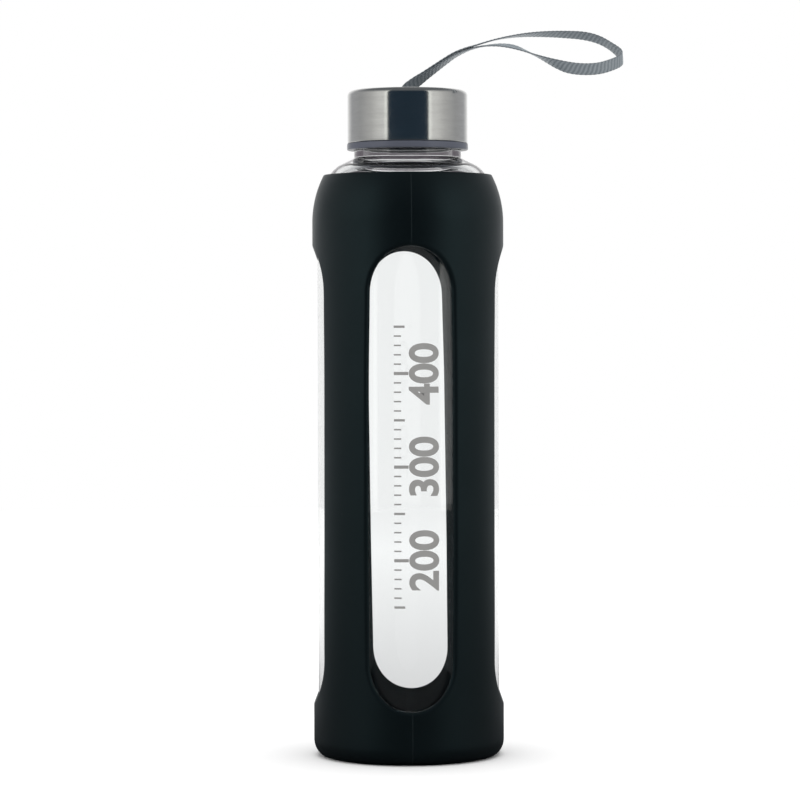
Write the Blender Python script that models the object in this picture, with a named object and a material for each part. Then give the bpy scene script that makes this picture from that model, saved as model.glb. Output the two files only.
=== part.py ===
"""Glass water bottle with a silicone sleeve and a screw lid on a carry strap.

The frame is metres with +Z up. The origin is the centre of the underside and Z is the bottle's axis.
The front window of the sleeve faces -Y, and the strap leaves the lid towards +X.
Sizes are written in millimetres and turned into metres by MM.
"""

import math

import bmesh
import bpy
from mathutils import Matrix, Vector

MM = 0.001

# Driving dimensions, in millimetres.
GAP = 0.3  # clearance kept between neighbouring solids
SIDES = 48  # facets round every turned piece

SLEEVE_RADIUS = 35.0
SLEEVE_WALL = 1.6
SLEEVE_FOOT_ROUND = 6.0
SLEEVE_TOP_ANGLE = 27.0  # where the sleeve ends on the shoulder, in degrees above the horizontal
WINDOW_HALF_WIDTH = 15.4
WINDOW_LOW, WINDOW_HIGH = 19.2, 185.7
WINDOW_END_HEIGHT = 17.0  # each end of a window is half an ellipse this high

GLASS_RADIUS = SLEEVE_RADIUS - SLEEVE_WALL - GAP
GLASS_WALL = 2.2
GLASS_BASE = SLEEVE_WALL + GAP
GLASS_FOOT_ROUND = 4.5
GLASS_FLOOR = 6.5  # height of the floor inside
GLASS_PUNT = 1.2  # how far the underside rises at its centre
PUNT_SHOULDER = 0.6  # the share of the foot's radius where the rise has almost all been made
GLASS_HEEL_ROUND = 1.5  # how much larger the round inside the foot is than the one outside
SHOULDER_LOW = 194.7  # where the straight wall ends
SHOULDER_RADIUS, SHOULDER_TURN = 36.0, 28.0  # the first arc and the angle it turns through
CROWN_RADIUS, CROWN_TURN = 10.0, 64.0  # the second arc runs on to this angle
NECK_BEAD_RADIUS = 19.9
NECK_FILLET = 2.5
BEAD_EDGE = 0.3  # the bead narrows by this at its upper edge
BEAD_HEIGHT, BEAD_SLOPE_HEIGHT = 1.1, 2.6  # from the shoulder to that edge, and to the plain neck
NECK_RADIUS = 18.4
MOUTH_RADIUS = 16.1
RIM_HEIGHT = 235.1
RIM_ROUND = 0.8

THREAD_STARTS = 2
THREAD_LEAD = 9.0  # the lid rises this far in one turn
THREAD_TURN = 270.0  # degrees covered by each start
THREAD_DEPTH = 1.0
THREAD_CREST_WIDTH, THREAD_ROOT_WIDTH = 1.2, 2.4
THREAD_TAPER = 30.0  # degrees over which a thread's end fades out
THREAD_END_DEPTH = 0.35  # the share of its depth that a thread keeps at its very end
THREAD_ROOT_OVERLAP = 0.6  # each thread is rooted this deep in its wall, so that the two join
THREAD_LOW = 225.2  # height of the middle of the glass thread where it begins
THREAD_UNDER = 1.85  # each lid thread sits this far below the glass thread that holds it
THREAD_CLEARANCE = 0.4  # from the lid thread's crest to the neck

LID_RADIUS = 22.0
LID_TOP = 243.0
LID_EDGE = 223.7
LID_STEEL = 0.45
LID_ROUND = 2.0
SLOT_LENGTH, SLOT_WIDTH = 6.0, 2.6
SLOT_CUT = 6.0  # height of the tool that cuts the slot

LINER_RADIUS = LID_RADIUS - LID_STEEL - GAP
LINER_BORE = 19.75
LINER_BAND_RADIUS = 22.15
LINER_BAND_LOW, LINER_BAND_HIGH = 221.2, LID_EDGE - GAP
LINER_CHAMFER = 0.5
LINER_TOP = 238.5
LINER_DISC = 1.3
LIP_INNER, LIP_OUTER, LIP_LOW = 13.7, 14.9, 234.2

GASKET_THICKNESS = 1.5
GASKET_INNER, GASKET_OUTER = LIP_OUTER + GAP, LINER_BORE - GAP

STRAP_WIDTH, STRAP_THICKNESS = 4.3, 0.5
STRAP_LAYER_OFFSET = (STRAP_THICKNESS + GAP) / 2  # each layer's middle from the stem's middle
PIN_RADIUS, PIN_LENGTH = 0.6, 14.0
PIN_HEIGHT = 240.5
HEM_WALL = 0.7
HEM_PROUD = 0.2  # the hem ends this far above the lid, where the strap's layers take over
HEM_THICKNESS = 2 * STRAP_THICKNESS + GAP
PIVOT = (1.9, 0.0, 245.7)  # the strap turns here, on an axis along Y
STRAP_STEPS = 4  # sections between neighbouring points of the strap's route

# The strap's route: x, y, z in millimetres, and the twist of its width away from upright in degrees.
# Both layers share the stem. The loop runs out along its near side and back along its far side.
STEM = [
    (2.2, 0.0, 245.5, 30),
    (6.2, 0.0, 248.4, 53),
    (10.1, 0.0, 251.2, 63),
    (13.6, 0.0, 253.7, 70),
    (17.2, 0.0, 256.1, 77),
    (20.8, 0.0, 257.8, 84),
    (24.4, 0.0, 259.1, 90),
]
LOOP = [
    (28.8, -0.7, 259.7, 97),
    (33.8, -1.8, 259.7, 106),
    (38.4, -3.1, 259.0, 109),
    (42.6, -4.6, 257.4, 96),
    (47.6, -6.4, 255.1, 78),
    (53.4, -8.4, 252.5, 48),
    (58.6, -9.7, 250.8, 18),
    (64.0, -10.0, 250.2, 3),
    (69.5, -9.0, 250.6, 0),
    (74.4, -6.4, 252.1, 0),
    (78.1, -2.6, 254.0, 0),
    (78.9, 1.2, 256.1, -8),
    (75.8, 5.0, 259.5, -34),
    (71.2, 7.9, 262.5, -46),
    (65.5, 9.2, 264.1, -52),
    (58.0, 9.1, 264.6, -60),
    (50.8, 8.0, 264.6, -68),
    (44.4, 6.3, 264.2, -76),
    (38.6, 4.4, 263.4, -83),
    (33.5, 2.5, 262.3, -87),
    (28.9, 1.0, 260.8, -90),
]


def clear_scene():
    for old in list(bpy.data.objects):
        bpy.data.objects.remove(old)


def make_material(name, colour, roughness, metallic=0.0, transmission=0.0):
    material = bpy.data.materials.new(name)
    material.use_nodes = True
    shader = material.node_tree.nodes["Principled BSDF"]
    shader.inputs["Base Color"].default_value = (*colour, 1.0)
    shader.inputs["Roughness"].default_value = roughness
    shader.inputs["Metallic"].default_value = metallic
    shader.inputs["Transmission Weight"].default_value = transmission
    return material


def make_object(name, work, material=None):
    """Turns a bmesh drawn in millimetres into an object in metres, and frees the bmesh."""
    bmesh.ops.recalc_face_normals(work, faces=work.faces)
    bmesh.ops.scale(work, vec=(MM, MM, MM), verts=work.verts)
    mesh = bpy.data.meshes.new(name)
    work.to_mesh(mesh)
    work.free()
    made = bpy.data.objects.new(name, mesh)
    bpy.context.scene.collection.objects.link(made)
    if material:
        mesh.materials.append(material)
        mesh.shade_smooth()
        mesh.set_sharp_from_angle(angle=math.radians(35))
    return made


def make_cutter(name, work):
    cutter = make_object(name, work)
    cutter.hide_render = True
    cutter.display_type = "WIRE"
    return cutter


def apply_boolean(target, tool, operation):
    change = target.modifiers.new(tool.name, "BOOLEAN")
    change.object = tool
    change.operation = operation
    change.solver = "EXACT"


def place_on(made, parent, origin):
    """Moves an object's origin to a place in millimetres without moving its shape, and parents it."""
    place = Vector(origin) * MM
    made.data.transform(Matrix.Translation(-place))
    made.parent = parent
    made.location = place - parent.matrix_world.translation


def make_pivot(name, origin, parent=None):
    pivot = bpy.data.objects.new(name, None)
    bpy.context.scene.collection.objects.link(pivot)
    place = Vector(origin) * MM
    pivot.parent = parent
    pivot.location = place - parent.matrix_world.translation if parent else place
    bpy.context.view_layer.update()
    return pivot


def arc(centre, radius, start, end, steps):
    """Points on an arc, from one angle to another in degrees, both ends included."""
    points = []
    for i in range(steps + 1):
        angle = math.radians(start + (end - start) * i / steps)
        points.append((centre[0] + radius * math.cos(angle), centre[1] + radius * math.sin(angle)))
    return points


def turned(outline, closed):
    """A bmesh turned about Z from (radius, height) points. An open outline starts and ends on the axis."""
    work = bmesh.new()
    verts = [work.verts.new((radius, 0.0, height)) for radius, height in outline]
    edges = [work.edges.new(pair) for pair in zip(verts, verts[1:])]
    if closed:
        edges.append(work.edges.new((verts[-1], verts[0])))
    bmesh.ops.spin(
        work,
        geom=verts + edges,
        cent=(0, 0, 0),
        axis=(0, 0, 1),
        angle=math.tau,
        steps=SIDES,
        use_merge=True,
    )
    bmesh.ops.remove_doubles(work, verts=work.verts, dist=0.001)
    return work


def extruded(outline, axis, start, length):
    """A closed outline of 3-D points, filled and carried along an axis, for cutters and the hem."""
    work = bmesh.new()
    face = work.faces.new([work.verts.new(Vector(p) + Vector(axis) * start) for p in outline])
    moved = bmesh.ops.extrude_face_region(work, geom=[face])
    grown = [g for g in moved["geom"] if isinstance(g, bmesh.types.BMVert)]
    bmesh.ops.translate(work, verts=grown, vec=Vector(axis) * length)
    return work


def shoulder_centres():
    """The centres of the shoulder's two arcs. Every wall's surface shares them."""
    first = (GLASS_RADIUS - SHOULDER_RADIUS, SHOULDER_LOW)
    turn = math.radians(SHOULDER_TURN)
    drop = SHOULDER_RADIUS - CROWN_RADIUS
    second = (first[0] + drop * math.cos(turn), first[1] + drop * math.sin(turn))
    return first, second


def shoulder(offset, neck_radius, fillet):
    """The shoulder's profile from the straight wall up to the neck, offset outwards from the glass."""
    first, second = shoulder_centres()
    low = arc(first, SHOULDER_RADIUS + offset, 0, SHOULDER_TURN, 4)
    high = arc(second, CROWN_RADIUS + offset, SHOULDER_TURN, CROWN_TURN, 3)
    end = high[-1]
    turn = math.radians(CROWN_TURN)
    run = (end[0] - neck_radius) / math.sin(turn)
    meet = end[1] + run * math.cos(turn)  # the slope and the neck would meet at this height
    tangent = fillet * math.tan(turn / 2)
    centre = (neck_radius + fillet, meet + tangent)
    return low + high[1:] + arc(centre, fillet, 180 + CROWN_TURN, 180, 3)


def helical_ridge(root_radius, crest_radius, low, start_angle):
    """One thread: a tapered ridge of trapezium section that climbs THREAD_LEAD in each turn."""
    work = bmesh.new()
    step = 360.0 / SIDES
    count = round(THREAD_TURN / step)
    rings = []
    for i in range(count + 1):
        turn = i * step
        angle = math.radians(start_angle + turn)
        middle = low + THREAD_LEAD * turn / 360.0
        fade = min(1.0, (turn + step) / THREAD_TAPER, (THREAD_TURN - turn + step) / THREAD_TAPER)
        depth = THREAD_END_DEPTH + (1 - THREAD_END_DEPTH) * fade
        crest = root_radius + (crest_radius - root_radius) * depth
        half_root, half_crest = THREAD_ROOT_WIDTH / 2, THREAD_CREST_WIDTH / 2 * fade
        section = [
            (root_radius, middle - half_root),
            (crest, middle - half_crest),
            (crest, middle + half_crest),
            (root_radius, middle + half_root),
        ]
        rings.append(
            [work.verts.new((r * math.cos(angle), r * math.sin(angle), z)) for r, z in section]
        )
    for a, b in zip(rings, rings[1:]):
        for k in range(4):
            work.faces.new((a[k], a[(k + 1) % 4], b[(k + 1) % 4], b[k]))
    work.faces.new(rings[0])
    work.faces.new(rings[-1])
    return work


def add_threads(target, root_radius, crest_radius, low):
    """Joins every start of the thread to a turned piece."""
    for start in range(THREAD_STARTS):
        ridge = helical_ridge(root_radius, crest_radius, low, start * 360.0 / THREAD_STARTS)
        tool = make_cutter(f"{target.name}_thread_{start + 1}", ridge)
        apply_boolean(target, tool, "UNION")


def glass_bottle(material):
    """The blown glass: straight wall, shoulder, threaded neck and an open mouth."""
    foot = (GLASS_RADIUS - GLASS_FOOT_ROUND, GLASS_BASE + GLASS_FOOT_ROUND)
    inside = GLASS_RADIUS - GLASS_WALL
    heel = foot[0] - GLASS_HEEL_ROUND
    inner_foot = (heel, GLASS_FLOOR + inside - heel)
    rim_out = (NECK_RADIUS - RIM_ROUND, RIM_HEIGHT - RIM_ROUND)
    rim_in = (MOUTH_RADIUS + RIM_ROUND, RIM_HEIGHT - RIM_ROUND)
    rise = GLASS_PUNT * (1 - PUNT_SHOULDER / 2)
    outside = [(0.0, GLASS_BASE + GLASS_PUNT), (foot[0] * PUNT_SHOULDER, GLASS_BASE + rise)]
    outside += arc(foot, GLASS_FOOT_ROUND, -90, 0, 3)
    outside += shoulder(0.0, NECK_BEAD_RADIUS, NECK_FILLET)
    bead = outside[-1][1]
    outside += [(NECK_BEAD_RADIUS - BEAD_EDGE, bead + BEAD_HEIGHT)]
    outside += [(NECK_RADIUS, bead + BEAD_SLOPE_HEIGHT)]
    outside += arc(rim_out, RIM_ROUND, 0, 90, 2)
    wall_in = shoulder(-GLASS_WALL, MOUTH_RADIUS, NECK_FILLET + GLASS_WALL)
    within = arc(rim_in, RIM_ROUND, 90, 180, 2)
    within += wall_in[::-1]
    within += arc(inner_foot, inside - inner_foot[0], 0, -90, 3)
    within += [(0.0, GLASS_FLOOR)]
    made = make_object("glass_bottle", turned(outside + within, closed=False), material)
    root = NECK_RADIUS - THREAD_ROOT_OVERLAP
    add_threads(made, root, NECK_RADIUS + THREAD_DEPTH, THREAD_LOW)
    return made


def window_outline():
    """A window's outline in the XZ plane: straight sides between two half ellipses."""
    points = []
    for centre, start in ((WINDOW_HIGH - WINDOW_END_HEIGHT, 0), (WINDOW_LOW + WINDOW_END_HEIGHT, 180)):
        for across, up in arc((0.0, 0.0), 1.0, start, start + 180, 12):
            points.append((WINDOW_HALF_WIDTH * across, 0.0, centre + WINDOW_END_HEIGHT * up))
    return points


def silicone_sleeve(material):
    """The stretched-on sleeve: a closed foot, four long windows and an open top on the shoulder."""
    first = shoulder_centres()[0]
    foot = (SLEEVE_RADIUS - SLEEVE_FOOT_ROUND, SLEEVE_FOOT_ROUND)
    inner_foot = (GLASS_RADIUS - GLASS_FOOT_ROUND, GLASS_BASE + GLASS_FOOT_ROUND)
    inner_radius = SHOULDER_RADIUS + GAP
    outside = [(0.0, 0.0)]
    outside += arc(foot, SLEEVE_FOOT_ROUND, -90, 0, 3)
    outside += arc(first, inner_radius + SLEEVE_WALL, 0, SLEEVE_TOP_ANGLE, 4)
    within = arc(first, inner_radius, SLEEVE_TOP_ANGLE, 0, 4)
    within += arc(inner_foot, GLASS_FOOT_ROUND + GAP, 0, -90, 3)
    within += [(0.0, SLEEVE_WALL)]
    made = make_object("silicone_sleeve", turned(outside + within, closed=False), material)
    reach = SLEEVE_RADIUS + 10.0
    for turn in (0, 90):
        tool = make_cutter(f"window_cutter_{turn}", extruded(window_outline(), (0, 1, 0), -reach, 2 * reach))
        tool.rotation_euler = (0, 0, math.radians(turn))
        apply_boolean(made, tool, "DIFFERENCE")
    return made


def slot_outline():
    """The slot in the lid's top: long along X, with round ends."""
    half = (SLOT_LENGTH - SLOT_WIDTH) / 2
    right = arc((half, 0.0), SLOT_WIDTH / 2, -90, 90, 6)
    left = arc((-half, 0.0), SLOT_WIDTH / 2, 90, 270, 6)
    return [(x, y, 0.0) for x, y in right + left]


def lid_shell(material):
    """The drawn steel cap that covers the liner, with the strap's slot in its top."""
    corner = (LID_RADIUS - LID_ROUND, LID_TOP - LID_ROUND)
    outside = [(0.0, LID_TOP)]
    outside += arc(corner, LID_ROUND, 90, 0, 4)
    outside += [(LID_RADIUS, LID_EDGE)]
    within = [(LID_RADIUS - LID_STEEL, LID_EDGE)]
    within += arc(corner, LID_ROUND - LID_STEEL, 0, 90, 4)
    within += [(0.0, LID_TOP - LID_STEEL)]
    made = make_object("lid_shell", turned(outside + within, closed=False), material)
    tool = make_cutter("slot_cutter", extruded(slot_outline(), (0, 0, 1), LID_TOP - SLOT_CUT / 2, SLOT_CUT))
    apply_boolean(made, tool, "DIFFERENCE")
    return made


def lid_liner(material):
    """The plastic insert: a threaded skirt with a band that shows, a disc, and a lip for the gasket."""
    disc_low = LINER_TOP - LINER_DISC
    outline = [
        (0.0, LINER_TOP),
        (LINER_RADIUS - LINER_CHAMFER, LINER_TOP),
        (LINER_RADIUS, LINER_TOP - LINER_CHAMFER),
        (LINER_RADIUS, LINER_BAND_HIGH),
        (LINER_BAND_RADIUS, LINER_BAND_HIGH),
        (LINER_BAND_RADIUS, LINER_BAND_LOW + LINER_CHAMFER),
        (LINER_BAND_RADIUS - LINER_CHAMFER, LINER_BAND_LOW),
        (LINER_BORE, LINER_BAND_LOW),
        (LINER_BORE, disc_low),
        (LIP_OUTER, disc_low),
        (LIP_OUTER, LIP_LOW),
        (LIP_INNER, LIP_LOW),
        (LIP_INNER, disc_low),
        (0.0, disc_low),
    ]
    made = make_object("lid_liner", turned(outline, closed=False), material)
    root = LINER_BORE + THREAD_ROOT_OVERLAP
    add_threads(made, root, NECK_RADIUS + THREAD_CLEARANCE, THREAD_LOW - THREAD_UNDER)
    return made


def lid_gasket(material):
    """The sealing ring between the glass rim and the liner's disc."""
    low = RIM_HEIGHT + GAP
    high = low + GASKET_THICKNESS
    outline = [(GASKET_INNER, low), (GASKET_OUTER, low), (GASKET_OUTER, high), (GASKET_INNER, high)]
    return make_object("lid_gasket", turned(outline, closed=True), material)


def strap_pin(material):
    """The steel pin under the lid's top that the strap's sewn end is wrapped round."""
    work = bmesh.new()
    bmesh.ops.create_cone(
        work,
        cap_ends=True,
        segments=16,
        radius1=PIN_RADIUS,
        radius2=PIN_RADIUS,
        depth=PIN_LENGTH,
        matrix=Matrix.Translation((0, 0, PIN_HEIGHT)) @ Matrix.Rotation(math.pi / 2, 4, "Y"),
    )
    return make_object("strap_pin", work, material)


def strap_end(material):
    """The sewn end of the strap: a hem round the pin and both layers, up through the slot."""
    outer = PIN_RADIUS + GAP + HEM_WALL
    half = HEM_THICKNESS / 2
    lean = math.degrees(math.asin(half / outer))
    top = LID_TOP + HEM_PROUD
    outline = [(0.0, half, top), (0.0, -half, top)]
    for across, up in arc((0.0, PIN_HEIGHT), outer, 90 + lean, 450 - lean, 16):
        outline.append((0.0, across, up))
    made = make_object("strap_end", extruded(outline, (1, 0, 0), -STRAP_WIDTH / 2, STRAP_WIDTH), material)
    bore = [(0.0, y, z) for y, z in arc((0.0, PIN_HEIGHT), PIN_RADIUS + GAP, 0, 345, 23)]
    tool = make_cutter("hem_cutter", extruded(bore, (1, 0, 0), -STRAP_WIDTH, 2 * STRAP_WIDTH))
    apply_boolean(made, tool, "DIFFERENCE")
    return made


def smooth_route(points, steps):
    """Catmull-Rom samples through every point of a route, in all of its four values."""
    padded = [points[0]] + points + [points[-1]]
    samples = []
    for a, b, c, d in zip(padded, padded[1:], padded[2:], padded[3:]):
        for i in range(steps):
            t = i / steps
            samples.append(
                [
                    0.5 * (2 * q + (r - p) * t + (2 * p - 5 * q + 4 * r - s) * t * t
                           + (3 * q - p - 3 * r + s) * t ** 3)
                    for p, q, r, s in zip(a, b, c, d)
                ]
            )
    samples.append(list(points[-1]))
    return samples


def ribbon_frames(samples):
    """Each sample's middle, its width direction and its outward direction, from the twist."""
    frames = []
    for i, sample in enumerate(samples):
        ahead = Vector(samples[min(i + 1, len(samples) - 1)][:3])
        behind = Vector(samples[max(i - 1, 0)][:3])
        along = (ahead - behind).normalized()
        upright = (Vector((0, 0, 1)) - along * along.z).normalized()
        twist = math.radians(sample[3])
        width = upright * math.cos(twist) + along.cross(upright) * math.sin(twist)
        frames.append((Vector(sample[:3]), width, along.cross(width)))
    return frames


def strap_route():
    """Out through the stem's front layer, round the loop, and back through its rear layer."""
    back = [(x, y, z, -twist) for x, y, z, twist in reversed(STEM)]
    samples = smooth_route(STEM + LOOP + back, STRAP_STEPS)
    shared = STRAP_STEPS * (len(STEM) - 1)
    last = len(samples) - 1
    layers = []
    for i, (middle, width, outward) in enumerate(ribbon_frames(samples)):
        into_loop = max(0, min(i, last - i) - shared) / (2 * STRAP_STEPS)
        offset = STRAP_LAYER_OFFSET * max(0.0, 1.0 - into_loop)
        layers.append((middle + outward * offset, width, outward))
    return layers


def strap_loop(material):
    """The woven strap above the lid: one ribbon whose two ends meet at the slot, rounded at the pivot."""
    work = bmesh.new()
    half = STRAP_WIDTH / 2
    route = strap_route()
    ends = [(-half * math.sin(a), half * math.cos(a)) for a in map(math.radians, (77, 50, 24))]
    rings = []

    def add_ring(middle, width, outward, reach):
        corners = [
            middle + width * reach + outward * STRAP_THICKNESS / 2,
            middle - width * reach + outward * STRAP_THICKNESS / 2,
            middle - width * reach - outward * STRAP_THICKNESS / 2,
            middle + width * reach - outward * STRAP_THICKNESS / 2,
        ]
        rings.append([work.verts.new(c) for c in corners])

    def add_round_end(middle, width, outward, side):
        along = width.cross(outward)
        for share, reach in ends[::side]:
            add_ring(middle + along * share * side, width, outward, reach)

    add_round_end(*route[0], 1)
    for middle, width, outward in route:
        add_ring(middle, width, outward, half)
    add_round_end(*route[-1], -1)
    for a, b in zip(rings, rings[1:]):
        for k in range(4):
            work.faces.new((a[k], a[(k + 1) % 4], b[(k + 1) % 4], b[k]))
    work.faces.new(rings[0])
    work.faces.new(rings[-1])
    return make_object("strap_loop", work, material)


def main():
    clear_scene()
    glass = make_material("clear_glass", (0.95, 0.97, 0.97), 0.02, transmission=1.0)
    silicone = make_material("black_silicone", (0.012, 0.014, 0.015), 0.6)
    steel = make_material("brushed_steel", (0.60, 0.60, 0.59), 0.3, metallic=1.0)
    plastic = make_material("grey_plastic", (0.20, 0.21, 0.24), 0.45)
    seal = make_material("clear_silicone", (0.75, 0.75, 0.73), 0.5)
    webbing = make_material("grey_webbing", (0.24, 0.27, 0.28), 0.85)

    glass_bottle(glass)
    silicone_sleeve(silicone)
    lid_axis = make_pivot("lid_axis", (0.0, 0.0, RIM_HEIGHT))
    for made in (lid_gasket(seal), lid_shell(steel), lid_liner(plastic)):
        place_on(made, lid_axis, (0.0, 0.0, RIM_HEIGHT))
    for made in (strap_pin(steel), strap_end(webbing)):
        place_on(made, lid_axis, (0.0, 0.0, PIN_HEIGHT))
    strap_pivot = make_pivot("strap_pivot", PIVOT, lid_axis)
    place_on(strap_loop(webbing), strap_pivot, PIVOT)


main()
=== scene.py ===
"""Glass water bottle in a windowed silicone sleeve, with a steel screw lid and a woven strap.

Every length below is in metres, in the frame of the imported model: +Z up, the floor at Z = 0, the
bottle's axis on Z, the front window towards -Y and the strap towards +X.
"""

import math

import bmesh
import bpy
import numpy as np
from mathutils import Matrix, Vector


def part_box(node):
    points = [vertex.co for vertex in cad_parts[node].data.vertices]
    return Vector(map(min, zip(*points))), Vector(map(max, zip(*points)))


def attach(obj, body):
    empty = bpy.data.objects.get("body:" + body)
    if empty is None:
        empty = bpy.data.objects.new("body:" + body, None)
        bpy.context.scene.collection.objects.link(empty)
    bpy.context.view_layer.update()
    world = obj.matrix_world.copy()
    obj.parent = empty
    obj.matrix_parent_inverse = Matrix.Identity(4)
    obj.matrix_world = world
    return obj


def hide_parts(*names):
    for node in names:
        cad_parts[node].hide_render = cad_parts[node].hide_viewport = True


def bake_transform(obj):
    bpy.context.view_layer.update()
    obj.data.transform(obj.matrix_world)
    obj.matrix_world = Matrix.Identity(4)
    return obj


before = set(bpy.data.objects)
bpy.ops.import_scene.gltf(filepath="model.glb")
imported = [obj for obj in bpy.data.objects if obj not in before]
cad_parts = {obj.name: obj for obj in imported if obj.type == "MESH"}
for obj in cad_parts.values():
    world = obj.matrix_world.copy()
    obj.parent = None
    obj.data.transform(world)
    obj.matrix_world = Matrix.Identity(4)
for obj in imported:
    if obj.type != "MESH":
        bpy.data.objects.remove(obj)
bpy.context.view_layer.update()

MM = 0.001
ABOUT = 192  # points round every turned piece
SAME_POINT, MERGE = 1e-8, 2e-7  # points closer than this are one, in an outline and in a mesh
SHARP_ANGLE = math.radians(40.0)  # a steeper fold between two faces stays crisp

# Sleeve: where its surfaces lie, taken from the frame where the frame gives them.
SLEEVE_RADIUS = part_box("silicone_sleeve")[1].x
SLEEVE_WALL = 1.75 * MM
SLEEVE_BORE = SLEEVE_RADIUS - SLEEVE_WALL
SLEEVE_FOOT_ROUND, SLEEVE_FOOT_IN = 6.0 * MM, 4.4 * MM  # the foot's round, upwards and inwards
SLEEVE_TAPER = 0.25 * MM  # how much the outside draws in towards the foot
# How far round the soft sleeve is pulled askew, in front and at the back.
FRONT_TURN, BACK_TURN = math.radians(-0.45), math.radians(3.0)
WINDOW_HALF_ANGLE = math.radians(26.55)
WINDOW_LOW, WINDOW_HIGH = 19.4 * MM, 185.3 * MM
WINDOW_END = 16.5 * MM  # height of each round end
WINDOW_ROUND = 1.45 * MM  # rounding of a window's outer edge
PANEL_LOW, PANEL_HIGH = 11.0 * MM, 194.7 * MM  # the straight wall that holds the windows

# Glass: the wall and shoulder arcs.
GLASS_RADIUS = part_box("glass_bottle")[1].x
GLASS_WALL = 2.2 * MM
GLASS_LOW = 1.9 * MM
RIM_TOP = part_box("glass_bottle")[1].z
SHOULDER_LOW = 194.7 * MM
SHOULDER_RADIUS, SHOULDER_TURN = 36.0 * MM, 28.0
CROWN_RADIUS, CROWN_TURN = 10.0 * MM, 64.0
NECK_RADIUS, MOUTH_RADIUS = 18.4 * MM, 16.1 * MM
COLLAR_RADIUS, COLLAR_TOP = 19.6 * MM, 222.0 * MM  # the neck's thicker root, inside the lid

# Threads: the height they begin at, the rise of a turn, how many, and the degrees each one runs.
THREAD_LOW, THREAD_LEAD, THREAD_STARTS, THREAD_TURN = 225.2 * MM, 9.0 * MM, 2, 270.0
THREAD_FADE = 28.0  # degrees over which a thread's ends sink into the wall
THREAD_CREST, THREAD_FOOT = 0.45 * MM, 1.2 * MM  # half heights of the crest and of the foot
THREAD_UNDER = 1.85 * MM  # the lid's thread lies this far below the glass's own

# Lid.
LID_LOW, LID_HIGH = (corner.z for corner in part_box("lid_shell"))
LID_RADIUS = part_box("lid_shell")[1].x
LID_STEEL, LID_ROUND = 0.45 * MM, 2.0 * MM
SLOT_HALF, SLOT_ROUND = 1.7 * MM, 1.3 * MM
BAND_LOW, BAND_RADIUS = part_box("lid_liner")[0].z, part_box("lid_liner")[1].x
LINER_TOP, LINER_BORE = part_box("lid_liner")[1].z, 19.75 * MM
PIN_HEIGHT = (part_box("strap_pin")[0].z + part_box("strap_pin")[1].z) / 2

# Strap.
STRAP_WIDTH, STRAP_THICKNESS = 4.3 * MM, 0.56 * MM
STRAP_OFFSET = 0.40 * MM  # each layer's middle from the stem's middle
RIB_PITCH, RIB_STARTS, RIB_HEIGHT = 1.6 * MM, 4, 0.055 * MM
TAPE_STEP = 0.25 * MM  # between sections of the tape
# x, y, z in millimetres, and the twist of the width away from upright in degrees.
STEM = [
    (2.2, 0.0, 245.5, 30), (6.2, 0.0, 248.4, 53), (10.1, 0.0, 251.2, 63),
    (13.6, 0.0, 253.7, 70), (17.2, 0.0, 256.1, 77), (20.8, 0.0, 257.8, 84),
    (24.4, 0.0, 259.1, 90),
]
LOOP = [
    (28.8, -0.7, 259.7, 97), (33.8, -1.8, 259.7, 106), (38.4, -3.1, 259.0, 109),
    (42.6, -4.6, 257.4, 96), (47.6, -6.4, 255.1, 78), (53.4, -8.4, 252.5, 48),
    (58.6, -9.7, 250.8, 18), (64.0, -10.0, 250.2, 3), (69.5, -9.0, 250.6, 0),
    (74.4, -6.4, 252.1, 0), (78.1, -2.6, 254.0, 0), (78.9, 1.2, 256.1, -8),
    (75.8, 5.0, 259.5, -34), (71.2, 7.9, 262.5, -46), (65.5, 9.2, 264.1, -52),
    (58.0, 9.1, 264.6, -60), (50.8, 8.0, 264.6, -68), (44.4, 6.3, 264.2, -76),
    (38.6, 4.4, 263.4, -83), (33.5, 2.5, 262.3, -87), (28.9, 1.0, 260.8, -90),
]
LOOP_START = 26.0 * MM  # the stem's stitching ends this far out along X
SLOT_RUN = [(-0.3, 0.0, 241.6, 0), (-0.2, 0.0, 243.4, 2)]  # up through the slot, below the stem


# ---------------- outlines


def arc(centre, radius, start, end, steps):
    """Points round a circle: the centre plus the radius times (cos, sin) of an angle in degrees."""
    angle = np.radians(np.linspace(start, end, steps + 1))
    x, y = centre[0] + radius * np.cos(angle), centre[1] + radius * np.sin(angle)
    return np.stack([x, y], axis=1)


def line(start, end, steps):
    """Evenly spaced points from start to end, both included."""
    return np.linspace(start, end, steps + 1)


def outline(*runs):
    """Runs of (radius, height) points put end to end, with repeated points kept once."""
    points = np.concatenate([np.atleast_2d(np.asarray(run, float)) for run in runs])
    step = np.linalg.norm(np.diff(points, axis=0), axis=1)
    return points[np.concatenate([[True], step > SAME_POINT])]


def smooth_step(value, low, high):
    """0 below low, 1 above high, and 3t^2 - 2t^3 of the share t between them."""
    t = np.clip((value - low) / (high - low), 0.0, 1.0)
    return t * t * (3.0 - 2.0 * t)


def shoulder_centres():
    """The two arcs of the shoulder. Each surface shares their centres and adds its own offset."""
    first = np.array([GLASS_RADIUS - SHOULDER_RADIUS, SHOULDER_LOW])
    turn = math.radians(SHOULDER_TURN)
    reach = SHOULDER_RADIUS - CROWN_RADIUS
    return first, first + reach * np.array([math.cos(turn), math.sin(turn)])


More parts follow.
